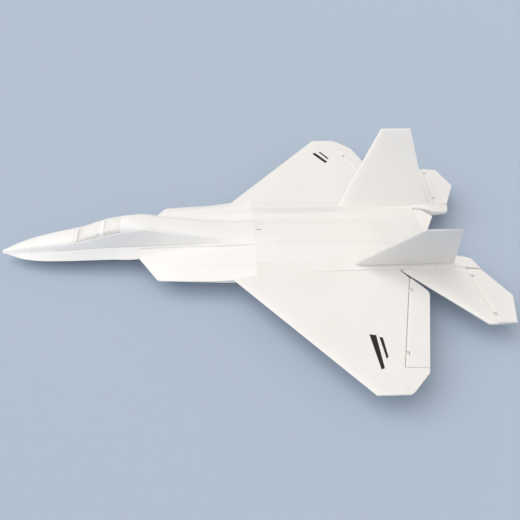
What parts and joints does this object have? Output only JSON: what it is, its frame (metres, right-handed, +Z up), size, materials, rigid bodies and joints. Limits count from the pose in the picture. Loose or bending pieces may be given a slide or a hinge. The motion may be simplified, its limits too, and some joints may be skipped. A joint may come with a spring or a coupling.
{
  "type": "radio control jet plane",
  "caption": "Free-standing white foam model jet with swept wings, canted twin fins, side intakes, a ducted fan inside, hinged ailerons and elevators and a lift-off clear canopy.",
  "frame": {"origin": "centre of the bounding box's underside, on the ground under the middle of the length", "axes": "+X towards the nose, +Y towards the left wing tip, +Z up"},
  "size_m": [1.05, 0.8, 0.221],
  "materials": {
    "foam": "moulded bead foam, satin white",
    "clear_canopy": "clear vacuum formed sheet",
    "duct_plastic": "thin formed sheet",
    "nozzle_plastic": "satin moulded",
    "plywood": "sanded birch plywood",
    "fan_plastic": "moulded glass filled nylon",
    "aluminium": "turned and anodised",
    "carbon": "pultruded carbon fibre",
    "nylon": "moulded nylon",
    "servo_case": "moulded plastic",
    "battery_wrap": "shrink wrap",
    "strap": "woven hook and loop",
    "heat_shrink": "heat shrink sleeve",
    "steel": "drawn wire"
  },
  "bodies": {
    "airframe": {"nose_cone": "foam", "front_fuselage_upper": "foam", "front_fuselage_lower": "foam", "rear_fuselage_upper": "foam", "rear_fuselage_lower": "foam", "intake_trunk_left": "foam", "intake_trunk_right": "foam", "wing_left": "foam", "wing_right": "foam", "stabilizer_left": "foam", "stabilizer_right": "foam", "fin_left": "foam", "fin_right": "foam", "tail_boom_left": "foam", "tail_boom_right": "foam", "inlet_duct_left": "duct_plastic", "inlet_duct_right": "duct_plastic", "thrust_tube": "duct_plastic", "nozzle": "nozzle_plastic", "centre_former": "plywood", "battery_tray": "plywood", "equipment_deck": "plywood", "fan_housing": "fan_plastic", "tail_cone": "fan_plastic", "motor": "aluminium", "wing_spars": "carbon", "tail_spars": "carbon", "hinge_barrels": "nylon", "servos": "servo_case", "battery": "battery_wrap", "battery_strap": "strap", "speed_controller": "heat_shrink", "receiver": "servo_case"},
    "canopy": {"canopy": "clear_canopy", "cockpit_base": "foam"},
    "fan": {"fan_rotor": "fan_plastic", "spinner": "aluminium", "rotor_shaft": "steel"},
    "aileron_left": {"aileron_left": "foam", "aileron_pins_left": "steel", "aileron_horn_left": "nylon"},
    "aileron_arm_left": {"aileron_arm_left": "nylon"},
    "aileron_rod_left": {"aileron_rod_left": "steel"},
    "elevator_left": {"elevator_left": "foam", "elevator_pins_left": "steel", "elevator_horn_left": "nylon"},
    "elevator_arm_left": {"elevator_arm_left": "nylon"},
    "elevator_rod_left": {"elevator_rod_left": "steel"},
    "aileron_right": {"aileron_right": "foam", "aileron_pins_right": "steel", "aileron_horn_right": "nylon"},
    "aileron_arm_right": {"aileron_arm_right": "nylon"},
    "aileron_rod_right": {"aileron_rod_right": "steel"},
    "elevator_right": {"elevator_right": "foam", "elevator_pins_right": "steel", "elevator_horn_right": "nylon"},
    "elevator_arm_right": {"elevator_arm_right": "nylon"},
    "elevator_rod_right": {"elevator_rod_right": "steel"}
  },
  "joints": [
    {"name": "aileron_left_hinge", "type": "hinge", "parent": "airframe", "child": "aileron_left", "pos_m": [-0.3366, 0.1366, 0.054], "axis": [0.2947, 0.9556, 0], "range_deg": [-25, 25]},
    {"name": "aileron_left_servo", "type": "hinge", "parent": "airframe", "child": "aileron_arm_left", "pos_m": [-0.25901, 0.19138, 0.05], "axis": [0.2947, 0.9556, 0], "range_deg": [-25, 25]},
    {"name": "aileron_left_link", "type": "hinge", "parent": "aileron_arm_left", "child": "aileron_rod_left", "pos_m": [-0.25901, 0.19138, 0.036], "axis": [0.2947, 0.9556, 0], "range_deg": [-25, 25]},
    {"name": "aileron_right_hinge", "type": "hinge", "parent": "airframe", "child": "aileron_right", "pos_m": [-0.3366, -0.1366, 0.054], "axis": [-0.2947, 0.9556, 0], "range_deg": [-25, 25]},
    {"name": "aileron_right_servo", "type": "hinge", "parent": "airframe", "child": "aileron_arm_right", "pos_m": [-0.25901, -0.19138, 0.05], "axis": [-0.2947, 0.9556, 0], "range_deg": [-25, 25]},
    {"name": "aileron_right_link", "type": "hinge", "parent": "aileron_arm_right", "child": "aileron_rod_right", "pos_m": [-0.25901, -0.19138, 0.036], "axis": [-0.2947, 0.9556, 0], "range_deg": [-25, 25]},
    {"name": "elevator_left_hinge", "type": "hinge", "parent": "airframe", "child": "elevator_left", "pos_m": [-0.462, 0.1115, 0.054], "axis": [-0.0775, 0.997, 0], "range_deg": [-25, 25]},
    {"name": "elevator_left_servo", "type": "hinge", "parent": "airframe", "child": "elevator_arm_left", "pos_m": [-0.41966, 0.16034, 0.05], "axis": [-0.0775, 0.997, 0], "range_deg": [-25, 25]},
    {"name": "elevator_left_link", "type": "hinge", "parent": "elevator_arm_left", "child": "elevator_rod_left", "pos_m": [-0.41966, 0.16034, 0.036], "axis": [-0.0775, 0.997, 0], "range_deg": [-25, 25]},
    {"name": "elevator_right_hinge", "type": "hinge", "parent": "airframe", "child": "elevator_right", "pos_m": [-0.462, -0.1115, 0.054], "axis": [0.0775, 0.997, 0], "range_deg": [-25, 25]},
    {"name": "elevator_right_servo", "type": "hinge", "parent": "airframe", "child": "elevator_arm_right", "pos_m": [-0.41966, -0.16034, 0.05], "axis": [0.0775, 0.997, 0], "range_deg": [-25, 25]},
    {"name": "elevator_right_link", "type": "hinge", "parent": "elevator_arm_right", "child": "elevator_rod_right", "pos_m": [-0.41966, -0.16034, 0.036], "axis": [0.0775, 0.997, 0], "range_deg": [-25, 25]},
    {"name": "fan_spin", "type": "hinge", "parent": "airframe", "child": "fan", "pos_m": [-0.109, 0, 0.0395], "axis": [1, 0, 0], "continuous": true},
    {"name": "canopy_lift", "type": "slide", "parent": "airframe", "child": "canopy", "axis": [0, 0, 1], "range_m": [0, 0.06]}
  ],
  "couplings": [
    {"joint": "aileron_left_servo", "follows": "aileron_left_hinge", "ratio": 1},
    {"joint": "aileron_left_link", "follows": "aileron_left_hinge", "ratio": -1},
    {"joint": "aileron_right_servo", "follows": "aileron_right_hinge", "ratio": 1},
    {"joint": "aileron_right_link", "follows": "aileron_right_hinge", "ratio": -1},
    {"joint": "elevator_left_servo", "follows": "elevator_left_hinge", "ratio": 1},
    {"joint": "elevator_left_link", "follows": "elevator_left_hinge", "ratio": -1},
    {"joint": "elevator_right_servo", "follows": "elevator_right_hinge", "ratio": 1},
    {"joint": "elevator_right_link", "follows": "elevator_right_hinge", "ratio": -1}
  ]
}
